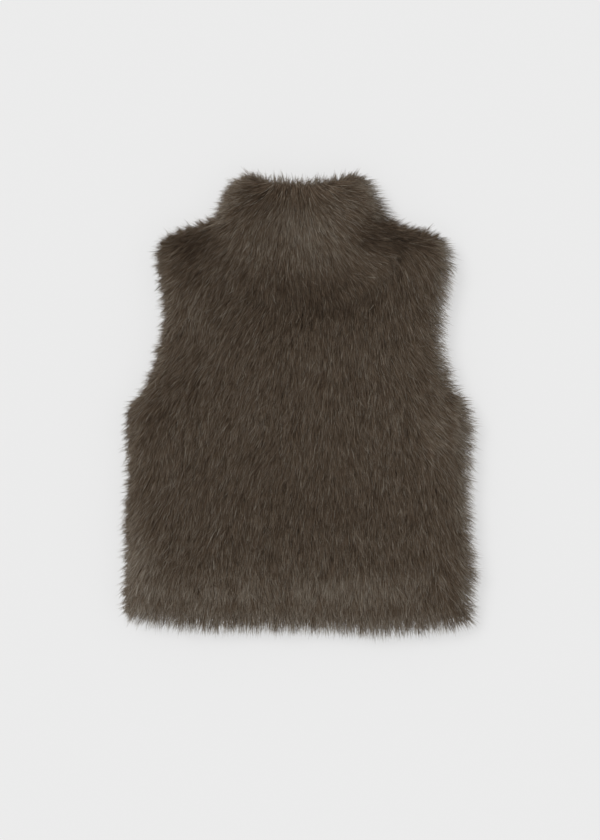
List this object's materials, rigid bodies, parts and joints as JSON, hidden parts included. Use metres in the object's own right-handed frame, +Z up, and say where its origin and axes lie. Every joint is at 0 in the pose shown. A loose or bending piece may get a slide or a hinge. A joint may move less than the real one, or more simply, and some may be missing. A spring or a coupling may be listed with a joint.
{
  "type": "faux fur vest",
  "caption": "Sleeveless faux fur vest with a stand collar, laid flat on its front with the back panel up.",
  "frame": {"origin": "middle of the laid-out vest's outline, on the surface that it lies on", "axes": "+Z up from the surface, +Y from the hem to the collar, +X to the right as seen from above"},
  "size_m": [0.4083, 0.5316, 0.0389],
  "materials": {
    "fur": "long-pile faux fur, dark grey-brown"
  },
  "bodies": {
    "root": {"back": "fur", "front_left": "fur", "front_right": "fur", "collar": "fur"}
  },
  "joints": []
}
